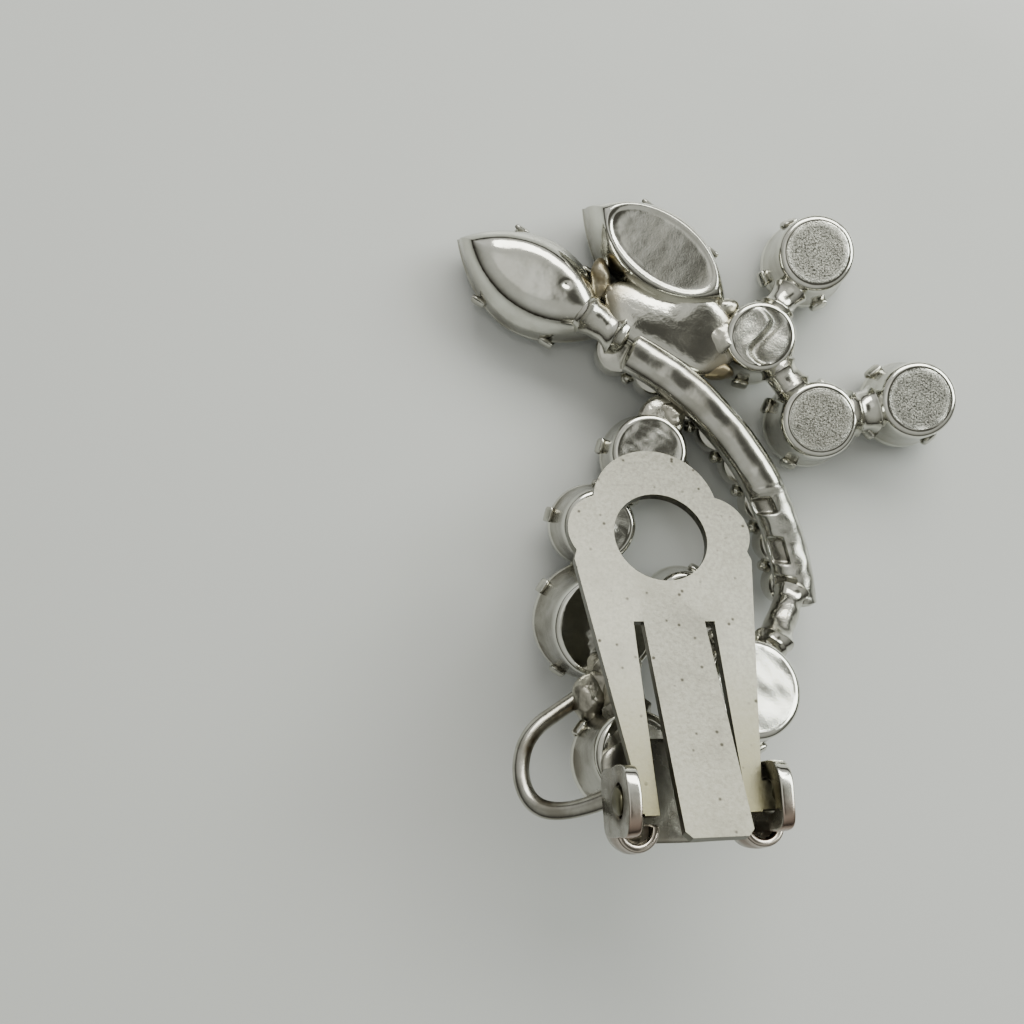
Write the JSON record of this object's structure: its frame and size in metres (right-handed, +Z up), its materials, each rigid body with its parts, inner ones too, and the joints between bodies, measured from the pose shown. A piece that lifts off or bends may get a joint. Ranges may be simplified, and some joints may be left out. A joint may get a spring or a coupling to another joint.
{
  "type": "clip on earring",
  "caption": "Clip on earring of stone set cups soldered in a leaf and fruit spray, with a hinged three lobed clip paddle on its back.",
  "frame": {"origin": "middle of the earring's box on the surface that it lies on", "axes": "+Z up, out of the earring's back, +Y from the clip's hinge towards the two leaves, +X towards the outer round cups"},
  "size_m": [0.0286, 0.0348, 0.0162],
  "materials": {
    "rhodium_plate": "bright plated",
    "nickel_clip": "satin plated",
    "crystal": "cut and polished"
  },
  "bodies": {
    "earring": {"setting": "rhodium_plate", "navette_stone_1": "crystal", "navette_stone_2": "crystal", "round_stone_1": "crystal", "round_stone_2": "crystal", "round_stone_3": "crystal", "round_stone_4": "crystal", "round_stone_5": "crystal", "round_stone_6": "crystal", "round_stone_7": "crystal", "round_stone_8": "crystal", "round_stone_9": "crystal", "round_stone_10": "crystal", "stem_stone_1": "crystal", "stem_stone_2": "crystal", "stem_stone_3": "crystal", "stem_stone_4": "crystal", "stem_stone_5": "crystal", "stem_stone_6": "crystal", "stem_stone_7": "crystal", "stem_stone_8": "crystal"},
    "paddle": {"clip_paddle": "nickel_clip"}
  },
  "joints": [
    {"name": "paddle_hinge", "type": "hinge", "parent": "earring", "child": "paddle", "pos_m": [-0.00233, -0.01417, 0.01347], "axis": [0.983, -0.0186, -0.1825], "range_deg": [0, 95]}
  ]
}
